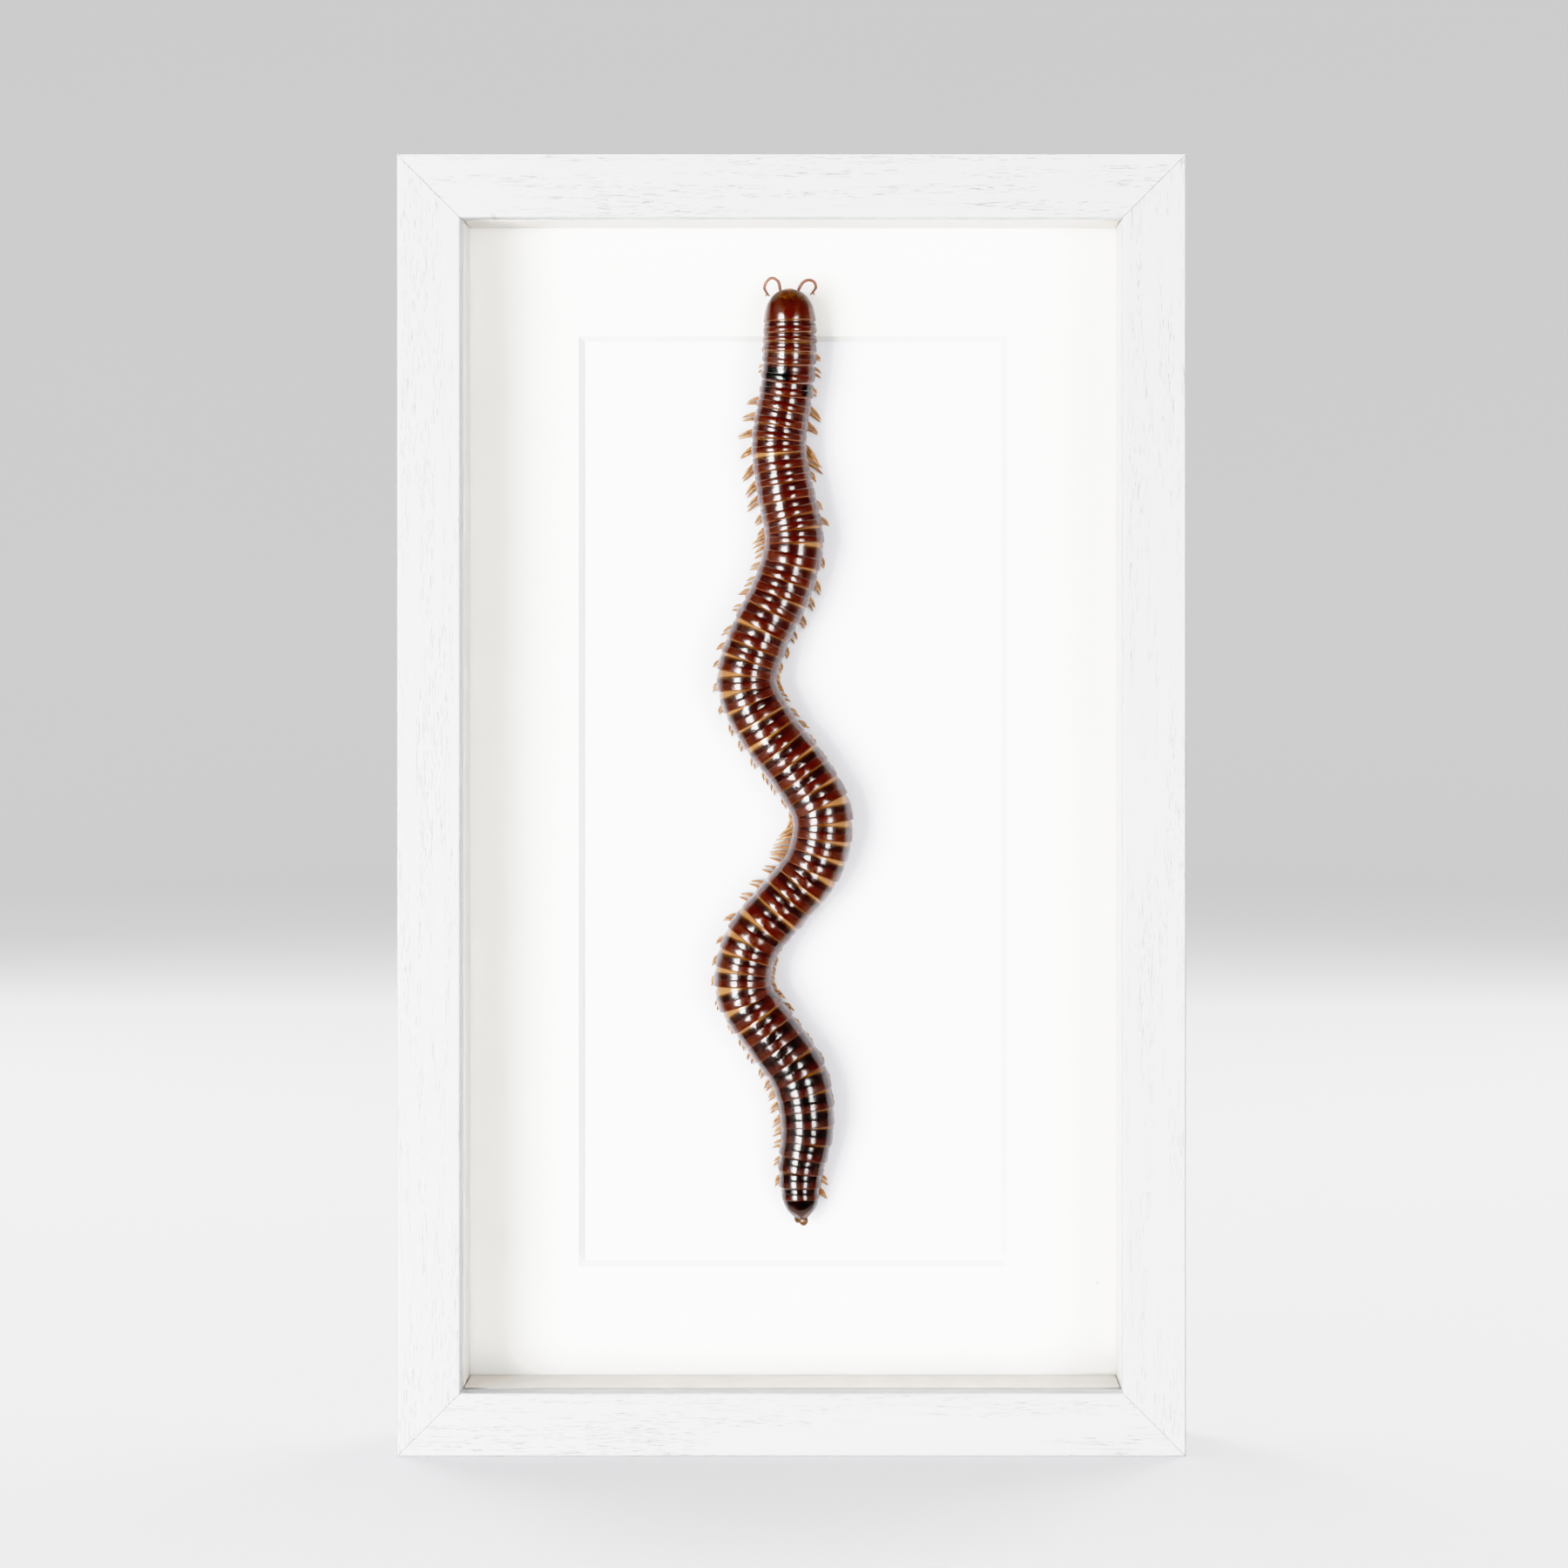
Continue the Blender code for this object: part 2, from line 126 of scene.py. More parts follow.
# A ring's own shape: the rim's thickness and its play over the next ring, how far the front reaches
# under the ring ahead and how far it is tucked in there, where the fold between its two bands lies and
# how deep it is, how much lower the front band is, and how much of the hollows the flanks fill
RIM_T = 0.15
RIM_PLAY = 0.05
OVERLAP = 2.3
TUCK = 0.9
SUTURE_SHARE = 0.5
SUTURE_D = 0.06
NECK_STEP = 0.03
FLANK = 0.5
# How much its bands are arched, as a share of their length
ARCHED = (
    (0, 0.14), (22, 0.12), (50, 0.08), (95, 0.05), (102, 0.022), (118, 0.022), (125, 0.045),
    (134, 0.022), (145, 0.035), (160, 0.025), (175, 0.05), (185, 0.022), (200, 0.045), (215, 0.02),
    (255, 0.018),
)
# How much of a ring's pale front shows where the body is straight
PALE = (
    (0, 0.1), (26, -0.15), (60, -0.1), (70, 0.12), (95, 0.15), (110, 0.22), (150, 0.4), (195, 0.4),
    (210, 0.05), (225, -0.1), (255, -0.2),
)
# Rings that show more or less of it
WIDE_PALE = {11: 0.8, 17: 0.2, 22: 0.7, 28: 0.6, 29: 0.8, 41: 0.8, 42: 0.8, 48: 0.6}
# Dark patches near the head, each from and to: on one ring's left, and at both sides of the next
STAIN_LEFT = ((19.3, 19.8), (22.9, 22.6))
STAIN_SIDES = ((23.8, 24.5), (27.2, 26.6))
# Half of a ring's outline seen from its end, one unit wide and high: an arch with soft shoulders
ARCH = (
    (0.0, 1.0), (0.24, 0.971), (0.46, 0.888), (0.62, 0.80), (0.77, 0.70), (0.83, 0.635), (0.88, 0.54),
    (0.93, 0.42), (0.97, 0.26), (1.0, 0.0),
)
ARCH_SIDES, BELLY_SIDES = 25, 6

# Legs: how far the tips stand out past the body
LEFT_REACH = (
    (12, -0.5), (28, 2.6), (68, 2.4), (100, 1.6), (134, 1.6), (142, 3.2), (160, 3.4), (180, 1.8),
    (190, 1.0), (202, 1.1), (217, 2.6), (232, 2.5), (248, 0.9),
)
RIGHT_REACH = (
    (12, -0.5), (30, 2.6), (40, 1.5), (50, 2.1), (80, 1.8), (97, 0.8), (122, 1.0), (128, -1.0),
    (176, -1.0), (186, 0.7), (205, 0.6), (211, -1.0), (246, -1.0), (250, 2.2),
)
# Rings whose legs stand otherwise: how far out, and how far swept back
LEFT_LEGS = {
    4: (-1, 1), 5: (1.0, 1.2), 6: (-1, 1), 7: (2.9, 1.2), 8: (3.4, 1.6), 9: (3.8, 1.8), 10: (3.3, 2.4),
    11: (3.2, 3.2), 12: (3.2, 3.0), 13: (3.5, 2.4), 14: (2.2, 1.6), 15: (2.2, 1.5), 16: (3.5, 1.9),
    32: (0.8, 2.0), 33: (1.6, 5.2), 34: (2.4, 4.4), 35: (3.4, 3.0), 36: (4.0, 2.4), 37: (4.0, 2.2),
    59: (-1, 1),
}
RIGHT_LEGS = {
    1: (-1, 1), 2: (-1, 1), 3: (-1, 1), 4: (1.1, 1.0), 5: (1.5, 1.3), 6: (0.7, 1.2), 7: (3.2, 2.4),
    8: (2.9, 1.6), 9: (-1, 1), 10: (3.0, 5.0), 11: (3.2, 3.6), 12: (0.9, 1.8), 13: (-1, 1),
    14: (0.9, 1.6), 15: (1.6, 1.6), 16: (-1, 1), 17: (0.9, 1.6), 56: (-1, 1), 57: (-1, 1.6),
    58: (1.5, 1.4), 59: (1.7, 2.2),
}
LEG_SWEEP = 1.8
LEG_R = 0.6
LEG_SIDES = 8
LEFT_ANTENNA = ((-3.2, 297.2), (-3.7, 299.5), (-5.4, 300.5), (-6.8, 299.4), (-7.3, 297.9), (-6.5, 296.4))
RIGHT_ANTENNA = ((1.4, 297.2), (2.4, 299.0), (3.8, 299.9), (5.4, 299.6), (6.0, 298.2), (5.1, 296.8))
ANTENNA_DROPS = (0.6, 0.0, 0.0, 0.3, 1.0, 1.8)
ANTENNA_R = 0.45

# The camera, the lights and the stage, in metres
CAMERA_AT, CAMERA_LENS, CAMERA_SHIFT = (0.016, -1.095, 0.2042), 97.5, (-0.045, -0.085)
AIM = (0, 0, 0.17)
LIGHT_DISTANCE = 1.6
# Soft panels: azimuth, elevation, width and height in degrees, and radiance
PANELS = {
    "left_panel": (-33, -6, 24, 34, 13.2),
    "right_panel": (28, -5, 20, 26, 9.9),
    "top_light": (180, 75, 50, 40, 6),
    "back_left": (140, 25, 30, 30, 5),
    "back_right": (-140, 25, 30, 30, 5),
}
# The tone curve as light in and light out, and the light that shows as white
WHITE = 3.0
TONES = (
    (0.03, 0.0008), (0.055, 0.003), (0.07, 0.013), (0.1, 0.042), (0.16, 0.105), (0.3, 0.27), (0.6, 0.6),
    (1.0, 0.84), (1.4, 0.925), (1.8, 0.965), (3.0, 1.0),
)


def y_at(depth):
    return depth - FRAME_D / 2


def from_table(table, s):
    return float(np.interp(s, *zip(*table)))


class Graph:
    """A material's nodes, written in short: a socket or a plain value goes into each input."""

    def __init__(self, name):
        self.material = bpy.data.materials.new(name)
        self.material.use_nodes = True
        self.tree = self.material.node_tree
        self.shader = self.tree.nodes["Principled BSDF"]

    def put(self, socket, value):
        if isinstance(value, bpy.types.NodeSocket):
            self.tree.links.new(value, socket)
        else:
            socket.default_value = value

    def finish(self, **inputs):
        for name, value in inputs.items():
            self.put(self.shader.inputs[name.replace("_", " ")], value)
        return self.material

    def node(self, kind, inputs=(), **settings):
        made = self.tree.nodes.new(kind)
        for name, value in settings.items():
            setattr(made, name, value)
        for key, value in dict(inputs).items():
            self.put(made.inputs[key], value)
        return made

    def place(self, scale=(1, 1, 1)):
        """The surface's place in millimetres, stretched by the scale."""
        coords = self.node("ShaderNodeTexCoord").outputs["Object"]
        size = [k / MM for k in scale]
        return self.node("ShaderNodeVectorMath", {0: coords, 1: size}, operation="MULTIPLY").outputs[0]

    def near(self, spots, radius):
        """1 at each of the spots, given as X and Z in millimetres, and 0 beyond the radius."""
        flat = self.place((1, 0, 1))
        marks = 0.0
        for x, z in spots:
            away = self.node("ShaderNodeVectorMath", {0: flat, 1: (x, 0, z)}, operation="DISTANCE")
            mark = self.step(away.outputs["Value"], radius, 0.5 * radius)
            marks = self.math("MAXIMUM", marks, mark)
        return marks

    def attribute(self, name):
        return self.node("ShaderNodeAttribute", attribute_name=name).outputs["Fac"]

    def noise(self, place, scale, detail=2.0, roughness=0.5, warp=0.0):
        inputs = {"Vector": place, "Scale": scale, "Detail": detail, "Roughness": roughness}
        inputs["Distortion"] = warp
        return self.node("ShaderNodeTexNoise", inputs).outputs["Fac"]

    def math(self, operation, a, b=0.0, c=0.0):
        return self.node("ShaderNodeMath", {0: a, 1: b, 2: c}, operation=operation).outputs[0]

    def step(self, value, low, high, to_low=0.0, to_high=1.0):
        """Runs smoothly from to_low to to_high as the value goes from low to high."""
        inputs = {"Value": value, "From Min": low, "From Max": high, "To Min": to_low, "To Max": to_high}
        return self.node("ShaderNodeMapRange", inputs, interpolation_type="SMOOTHSTEP").outputs[0]

    def mix(self, share, a, b):
        inputs = {"Factor": share, 6: a, 7: b}
        return self.node("ShaderNodeMix", inputs, data_type="RGBA").outputs[2]

    def bump(self, height, depth_mm, under=None):
        inputs = {"Height": height, "Distance": depth_mm * MM, "Strength": 1.0}
        if under:
            inputs["Normal"] = under
        return self.node("ShaderNodeBump", inputs).outputs[0]


def rgb(r, g, b):
    return (r, g, b, 1.0)


def open_grain_paint(name, along):
    """White satin paint over open-grained wood, its pores running along one axis."""
    g = Graph(name)
    stretch = {"X": (0.3, 1, 1), "Z": (1, 1, 0.3)}[along]
    fine = {"X": (0.05, 1, 1), "Z": (1, 1, 0.05)}[along]
    pores = g.step(g.noise(g.place(fine), 5.5, detail=1.0), 0.60, 0.72)
    groups = g.step(g.noise(g.place(fine), 0.45, detail=2.0), 0.40, 0.58)
    pores = g.math("MULTIPLY", pores, groups)
    figure = g.noise(g.place(stretch), 0.35, detail=3.0)
    peel = g.noise(g.place(), 2.2, detail=2.0)
    tone = g.mix(g.step(figure, 0.3, 0.7), rgb(0.935, 0.94, 0.96), rgb(0.95, 0.955, 0.975))
    tone = g.mix(g.math("MULTIPLY", pores, 0.6), tone, rgb(0.62, 0.61, 0.63))
    chips = g.near(CHIPS, 0.9)
    tone = g.mix(g.math("MULTIPLY", chips, 0.5), tone, rgb(0.55, 0.53, 0.51))
    normal = g.bump(peel, 0.02)
    normal = g.bump(figure, 0.08, normal)
    normal = g.bump(g.math("SUBTRACT", 1.0, g.math("MAXIMUM", pores, chips)), 0.08, normal)
    return g.finish(Base_Color=tone, Roughness=g.step(peel, 0.2, 0.8, 0.36, 0.5), Normal=normal)


def lining_paint():
    """Matt warm-white paint on the spacers, with faint brush lines, its tone set darker than the rails'
    paint as painted shade for the walls inside the box.
    """
    g = Graph("spacer_paint")
    lines = g.noise(g.place((1, 1, 0.08)), 2.5, detail=3.0)
    grime = g.noise(g.place(), 0.12, detail=4.0)
    # Both tones are well below the rails' white: painted shade on the walls inside the box.
    tone = g.mix(g.step(grime, 0.35, 0.75), rgb(0.665, 0.63, 0.60), rgb(0.625, 0.59, 0.555))
    rough = g.step(lines, 0.3, 0.7, 0.55, 0.7)
    return g.finish(Base_Color=tone, Roughness=rough, Normal=g.bump(lines, 0.04))


def card(name, colour, shade, tooth, bevel_shade_colour=None):
    """Uncoated card: a faint cloudiness, short fibres and a fine tooth, with painted shade on its window's
    bevel, fainter at the sill.
    """
    g = Graph(name)
    clouds = g.noise(g.place(), 0.05, detail=5.0, roughness=0.6)
    fibres = g.noise(g.place((1, 1, 0.35)), 2.8, detail=4.0, roughness=0.7, warp=1.5)
    tone = g.mix(g.step(clouds, 0.3, 0.75), rgb(*colour), rgb(*shade))
    tone = g.mix(g.step(fibres, 0.66, 0.8, 0, 0.25), tone, rgb(*[k * 0.88 for k in colour]))
    if bevel_shade_colour:
        x, _, z = g.node("ShaderNodeSeparateXYZ", {0: g.place()}).outputs
        beside = g.step(g.math("ABSOLUTE", x), WINDOW_W / 2, WINDOW_W / 2 - 0.05)
        height = g.math("ABSOLUTE", g.math("SUBTRACT", z, FRAME_H / 2))
        above = g.step(height, WINDOW_H / 2, WINDOW_H / 2 - 0.05)
        sill = FRAME_H / 2 - WINDOW_H / 2
        # The bevel is painted grey as shade, only a quarter as much on the bottom bevel, which faces the
        # light.
        lit = g.step(z, sill + 2, sill + 4, 0.25, 1.0)
        bevel_shade_mask = g.math("MULTIPLY", g.math("MULTIPLY", beside, above), lit)
        tone = g.mix(bevel_shade_mask, tone, rgb(*bevel_shade_colour))
        tone = g.mix(g.math("MULTIPLY", g.near(SPECKS, 0.45), 0.7), tone, rgb(0.30, 0.27, 0.24))
    rough = g.step(fibres, 0.3, 0.7, 0.8, 0.95)
    return g.finish(Base_Color=tone, Roughness=rough, Normal=g.bump(fibres, tooth))


def hardboard():
    """Brown hardboard with flecks, darker fibres and the press screen's fine mesh."""
    g = Graph("fibreboard")
    fleck = g.noise(g.place(), 0.9, detail=6.0, roughness=0.75, warp=0.8)
    strands = g.noise(g.place((0.25, 1, 1)), 1.6, detail=3.0, warp=2.0)
    clouds = g.noise(g.place(), 0.03, detail=3.0)
    tone = g.mix(g.step(fleck, 0.3, 0.7), rgb(0.16, 0.085, 0.04), rgb(0.30, 0.175, 0.09))
    tone = g.mix(g.step(strands, 0.62, 0.75, 0, 0.6), tone, rgb(0.42, 0.28, 0.16))
    tone = g.mix(g.step(clouds, 0.35, 0.7, 0, 0.3), tone, rgb(0.12, 0.06, 0.03))
    inputs = {"Vector": g.place(), "Scale": 0.32}
    weave = [g.node("ShaderNodeTexWave", inputs, bands_direction=k) for k in "XZ"]
    mesh = g.math("MULTIPLY", *[wave.outputs["Fac"] for wave in weave])
    normal = g.bump(mesh, 0.06, g.bump(fleck, 0.15))
    return g.finish(Base_Color=tone, Roughness=g.step(fleck, 0.3, 0.7, 0.65, 0.85), Normal=normal)


def plated(name, colour, dull, stain, along):
    """Thin plated sheet metal with drawn lines and a little tarnish."""
    g = Graph(name)
    lines = g.noise(g.place(along), 9.0, detail=3.0)
    spots = g.noise(g.place(), 0.7, detail=5.0, roughness=0.65)
    tone = g.mix(g.step(lines, 0.3, 0.7), rgb(*colour), rgb(*dull))
    tone = g.mix(g.step(spots, 0.56, 0.72, 0, 0.7), tone, rgb(*stain))
    rough = g.math("ADD", g.step(lines, 0.3, 0.7, 0.24, 0.36), g.step(spots, 0.5, 0.75, 0, 0.25))
    return g.finish(Base_Color=tone, Metallic=1.0, Roughness=rough, Normal=g.bump(lines, 0.01))


def clear_glass():
    """Clear float glass, a touch green in its thickness, with a very faint film."""
    g = Graph("clear_glass")
    film = g.noise(g.place(), 0.02, detail=4.0)
    tone = g.mix(g.step(film, 0.3, 0.7), rgb(0.985, 0.995, 0.99), rgb(0.975, 0.99, 0.985))
    return g.finish(Base_Color=tone, Roughness=0.0, Transmission_Weight=1.0, IOR=1.34)


def shell():
    """Glossy chitin: each ring pale at its front, then near black, then red-brown, with an amber rim."""
    g = Graph("millipede_shell")
    hind, front, pale = g.attribute("hind"), g.attribute("front"), g.attribute("pale")
    share, turn, station = g.attribute("share"), g.attribute("turn"), g.attribute("station")
    cloud = g.noise(g.place(), 0.55, detail=4.0, roughness=0.6)
    grain = g.noise(g.place(), 3.0, detail=3.0)
    uneven = g.math("MULTIPLY_ADD", cloud, 0.5, -0.25)

    rearward = g.step(station, 198, 222)
    forward = g.step(station, 34, 22)
    fresh = g.step(station, 125, 55, 0, 0.75)
    black = g.mix(rearward, rgb(0.016, 0.0020, 0.0008), rgb(0.0030, 0.0008, 0.0008))
    black = g.mix(fresh, black, rgb(0.042, 0.0040, 0.0010))
    red = g.mix(rearward, rgb(0.072, 0.0088, 0.0012), rgb(0.044, 0.0040, 0.0008))
    red = g.mix(g.step(cloud, 0.5, 0.75, 0, 0.5), red, rgb(0.085, 0.029, 0.006))
    share = g.math("ADD", share, g.math("MULTIPLY", uneven, 0.5))
    share = g.math("MULTIPLY_ADD", rearward, 0.12, share)
    tone = g.mix(g.step(share, 0.36, 0.62), red, black)
    spread = {0: g.math("MULTIPLY", turn, 55), 1: g.math("MULTIPLY", station, 0.7)}
    lengthwise = g.node("ShaderNodeCombineXYZ", spread).outputs[0]
    streaks = g.noise(lengthwise, 1.0, detail=4.0, roughness=0.65)
    tone = g.mix(g.step(streaks, 0.42, 0.72, 0, 0.6), tone, rgb(0.016, 0.0018, 0.0006))
    tone = g.mix(g.step(streaks, 0.46, 0.28, 0, 0.45), tone, rgb(0.098, 0.026, 0.0040))

    tan = g.mix(rearward, rgb(0.27, 0.135, 0.055), rgb(0.10, 0.032, 0.013))
    dull = g.math("MULTIPLY", g.step(station, 64, 48), g.step(pale, 0.6, 0.3))
    tan = g.mix(g.math("MAXIMUM", forward, dull), tan, rgb(0.075, 0.024, 0.008))
    amber = g.mix(g.math("MULTIPLY", grain, 0.6), rgb(0.10, 0.046, 0.012), rgb(0.05, 0.018, 0.005))
    reach = g.math("SUBTRACT", g.math("MULTIPLY_ADD", uneven, 0.5, front), pale)
    tone = g.mix(g.step(reach, 0.5, -0.1), tone, amber)
    tone = g.mix(g.step(reach, -0.1, -0.6), tone, tan)
    edge = g.mix(rearward, rgb(0.115, 0.047, 0.018), rgb(0.075, 0.022, 0.008))
    tone = g.mix(g.step(hind, 0.36, 0.12, 0, 0.8), tone, edge)

    # The olive patch on the top of the head shield is partly its own mottling and partly a painted sheen.
    crown_mottle_and_sheen = g.math("MULTIPLY", g.step(station, 6.2, 1.6), g.step(g.math("ABSOLUTE", turn), 0.30, 0.0))
    olive_mottle_and_sheen = g.mix(g.step(grain, 0.35, 0.65), rgb(0.070, 0.018, 0.003), rgb(0.11, 0.055, 0.014))
    tone = g.mix(g.math("MULTIPLY", crown_mottle_and_sheen, g.step(cloud, 0.38, 0.56, 0.25, 1.0)), tone, olive_mottle_and_sheen)
    tone = g.mix(g.step(station, 0.75, 0.25), tone, rgb(0.20, 0.085, 0.04))
    # A greyish tint on the rings' flanks is a painted reflection of the pale board around the body.
    flank_reflection = g.step(g.math("ABSOLUTE", turn), 0.27, 0.31, 0, 0.3)
    tone = g.mix(flank_reflection, tone, rgb(0.12, 0.09, 0.09))
    ragged = g.math("MULTIPLY", uneven, 0.12)
    left = g.math("ADD", turn, ragged)
    begin, end = STAIN_LEFT
    stained = g.math("MULTIPLY", g.step(station, *begin), g.step(left, 0.05, 0.0))
    stained = g.math("MULTIPLY", stained, g.step(station, *end))
    begin, end = STAIN_SIDES
    lower = g.math("MULTIPLY", g.step(station, *begin), g.step(station, *end))
    lower = g.math("MULTIPLY", lower, g.step(g.math("ABSOLUTE", left), 0.17, 0.22))
    stained = g.math("MAXIMUM", stained, lower)
    stained = g.math("MULTIPLY", stained, g.step(g.math("ABSOLUTE", turn), 0.31, 0.28))
    tone = g.mix(stained, tone, rgb(0.0012, 0.0022, 0.0020))
    rough = g.step(cloud, 0.3, 0.8, 0.22, 0.28)
    around = g.node("ShaderNodeCombineXYZ", {0: g.math("MULTIPLY", turn, 40), 1: hind}).outputs[0]
    striae = g.noise(around, 1.0)
    normal = g.bump(striae, 0.0015)
    g.finish(Base_Color=tone, Roughness=rough, Normal=normal)
    polish = g.step(g.math("ABSOLUTE", turn), 0.26, 0.31, 1.0, 0.4)
    return g.finish(Coat_Weight=polish, Coat_Roughness=0.18, Coat_IOR=1.9, Specular_IOR_Level=0.2)


def limb_shell(name, pale, deep, joint):
    """Thin chitin of legs and antennae, darker at the joints and towards the root."""
    g = Graph(name)
    bead, along = g.attribute("bead"), g.attribute("along")
    spots = g.noise(g.place(), 1.1, detail=3.0)
    tone = g.mix(g.step(spots, 0.3, 0.7), rgb(*pale), rgb(*deep))
    tone = g.mix(g.step(along, 0.75, 0.2, 0, 0.35), tone, rgb(*deep))
    tone = g.mix(g.step(bead, 0.16, 0.02, 0, 0.8), tone, rgb(*joint))
    normal = g.bump(spots, 0.03)
    g.finish(Base_Color=tone, Roughness=g.step(spots, 0.3, 0.7, 0.25, 0.4), Normal=normal)
    g.finish(Subsurface_Weight=0.25, Subsurface_Scale=0.6 * MM, Subsurface_Radius=(1.0, 0.5, 0.25))
    return g.finish(Coat_Weight=0.4, Coat_Roughness=0.12, Sheen_Weight=0.1)


def spline(p0, p1, p2, p3, u):
    """The point at share u of the way from p1 to p2, on a smooth curve through all four."""
    bend = (2 * p0 - 5 * p1 + 4 * p2 - p3) * u**2 + (3 * p1 - p0 - 3 * p2 + p3) * u**3
    return 0.5 * (2 * p1 + (p2 - p0) * u + bend)


class Path:
    """A smooth line through the body's points, read by the millimetres from its start."""

    def __init__(self, points, samples=40):
        knots = [Vector(point) for point in points]
        knots = [2 * knots[0] - knots[1], *knots, 2 * knots[-1] - knots[-2]]
        dense = []
        for four in zip(knots, knots[1:], knots[2:], knots[3:]):
            dense += [spline(*four, u) for u in np.arange(samples) / samples]
        dense.append(knots[-2])
        self.points = np.array(dense)
        steps = np.linalg.norm(np.diff(self.points, axis=0), axis=1)
        self.lengths = np.concatenate([[0], np.cumsum(steps)])

    def at(self, s):
        """The point at s, and beyond either end on a straight line."""
        inside = float(np.clip(s, 0, self.lengths[-1]))
        point = Vector([np.interp(inside, self.lengths, self.points[:, k]) for k in (0, 1)])
        return point + self.along(inside) * float(s - inside)

    def along(self, s):
        """The line's way at s, read over 3 mm of it."""
        ends = [np.clip(s + k, 0, self.lengths[-1]) for k in (-1.5, 1.5)]
        low, high = [[np.interp(end, self.lengths, self.points[:, k]) for k in (0, 1)] for end in ends]
        return (Vector(high) - Vector(low)).normalized()


def axis_depth(s, radius):
    """How deep the middle line lies, with the legs standing on the board and the head on the mat."""
    t = min(max((LIFT_TO - s) / (LIFT_TO - LIFT_FROM), 0), 1)
    return BOARD_DEPTH - GAP - MAT_LIFT * t * t * (3 - 2 * t) - STANCE - BELLY * radius


class Station:
    """A place on the body: its middle, and the ways to the right, up to the viewer and to the tail."""

    def __init__(self, path, s):
        self.s = s
        self.radius = from_table(BODY_RADIUS, s)
        x, z = path.at(s)
        tx, tz = path.along(s)
        self.axis = np.array((x, y_at(axis_depth(s, self.radius)), z))
        rise = y_at(axis_depth(s + 1, self.radius)) - y_at(axis_depth(s - 1, self.radius))
        self.tail = np.array(Vector((tx, rise / 2, tz)).normalized())
        self.right = np.array((-tz, 0, tx))
        self.up = np.cross(self.tail, self.right)
        if self.up[1] > 0:
            self.up = -self.up

    def points(self, right, up, tail):
        return self.axis + np.outer(right, self.right) + np.outer(up, self.up) + np.outer(tail, self.tail)


class Skin:
    """Gathers tubes of points as one mesh, with named values at each point."""

    def __init__(self):
        self.points, self.faces, self.values = [], [], {}
        self.count = 0

    def tube(self, loops, values, start_cap=False, end_cap=False):
        """Joins loops of points into a tube. Each value is a grid, one number for each loop and point."""
        rows, sides = len(loops), len(loops[0])
        grid = self.count + np.arange(rows * sides).reshape(rows, sides)
        ahead = np.roll(grid, -1, axis=1)
        faces = np.stack([grid[:-1], ahead[:-1], ahead[1:], grid[1:]], axis=-1).reshape(-1, 4).tolist()
        if start_cap:
            faces.append(grid[0][::-1].tolist())
        if end_cap:
            faces.append(grid[-1].tolist())
        self.faces += faces
        self.points.append(np.reshape(loops, (-1, 3)))
        for name, value in values.items():
            self.values.setdefault(name, []).append(np.broadcast_to(value, (rows, sides)).reshape(-1))
        self.count += rows * sides

    def build(self, name, material):
        mesh = bpy.data.meshes.new(name)
        mesh.from_pydata(np.concatenate(self.points) * MM, [], self.faces)
        mesh.materials.append(material)
        for key, parts in self.values.items():
            layer = mesh.attributes.new(key, "FLOAT", "POINT")
            layer.data.foreach_set("value", np.concatenate(parts).astype(np.float32))
        bm = bmesh.new()
        bm.from_mesh(mesh)
        bmesh.ops.recalc_face_normals(bm, faces=bm.faces)
        bm.to_mesh(mesh)
        bm.free()
        mesh.shade_smooth()
        mesh.update()
        obj = bpy.data.objects.new(name, mesh)
        bpy.context.scene.collection.objects.link(obj)
        return obj


def ring_outline():
    """Points round a ring of one unit, from the top to the right and below."""
    line = Path(ARCH)
    arch = [line.at(s) for s in np.linspace(0, line.lengths[-1], ARCH_SIDES)]
    turns = math.pi / 2 * (1 + np.arange(1, BELLY_SIDES + 1) / BELLY_SIDES)
    half = np.array([*arch, *[(math.sin(a), max(math.cos(a), -BELLY)) for a in turns]])
    half[-1, 0] = 0
    return np.vstack([half, half[-2:0:-1] * (-1, 1)])


def ring_profile(pitch, radius, arch, ahead):
    """A ring's section as (distance forward of its hind edge, radius): a rim, two arched bands and a neck.

    The neck lies under the rim of the ring ahead, whose outer edge is at the radius given as ahead.
    """
    suture = SUTURE_SHARE * pitch
    lip = [(1.4, -RIM_T - 0.02), (0.10, -RIM_T - 0.01), (0.0, -RIM_T + 0.04)]
    rim = lip + [(-0.04, -0.09), (0.0, -0.04), (0.09, -0.01)]
    rows = [(t, radius - arch + r) for t, r in rim]
    for u in np.linspace(0.09, 1, 8):
        rows.append((suture * u, radius - arch * (2 * u - 1) ** 2))
    crest = min(radius, ahead) - arch - NECK_STEP
    rows += [(suture + 0.06, crest - SUTURE_D), (suture + 0.13, crest - SUTURE_D)]
    length = pitch - suture
    for u in np.linspace(0.1, 0.85, 6):
        rows.append((suture + length * u, crest - min(arch, 0.1) * (2 * u - 1) ** 2))
    under = ahead - RIM_T - RIM_PLAY
    rows += [(pitch + 0.05, under), (pitch + 0.4 * OVERLAP, under - 0.15)]
    return rows + [(pitch + OVERLAP, under - TUCK)]


def ring_loops(station, sizes, boxy=1.0):
    """Loops round the station's line, each given by its place to the tail, half-width and height."""
    outline = ring_outline()
    loops = []
    for (tail, width, height), power in zip(sizes, np.broadcast_to(boxy, len(sizes))):
        x, y = (np.sign(outline) * np.abs(outline) ** power).T
        up = np.maximum(height * y, -BELLY * height)
        loops.append(station.points(width * x, up, np.full(len(x), tail)))
    return loops


def ring_values(forward, pitch, s_hind, pale):
    """What the shell's colours follow at each loop of a ring, forward of its hind edge."""
    x, y = ring_outline().T
    forward = np.array(forward)[:, None]
    return {
        "hind": forward,
        "front": pitch - forward,
        "share": forward / pitch,
        "pale": pale,
        "turn": np.arctan2(x, y)[None, :] / math.pi,
        "station": s_hind - forward,
    }


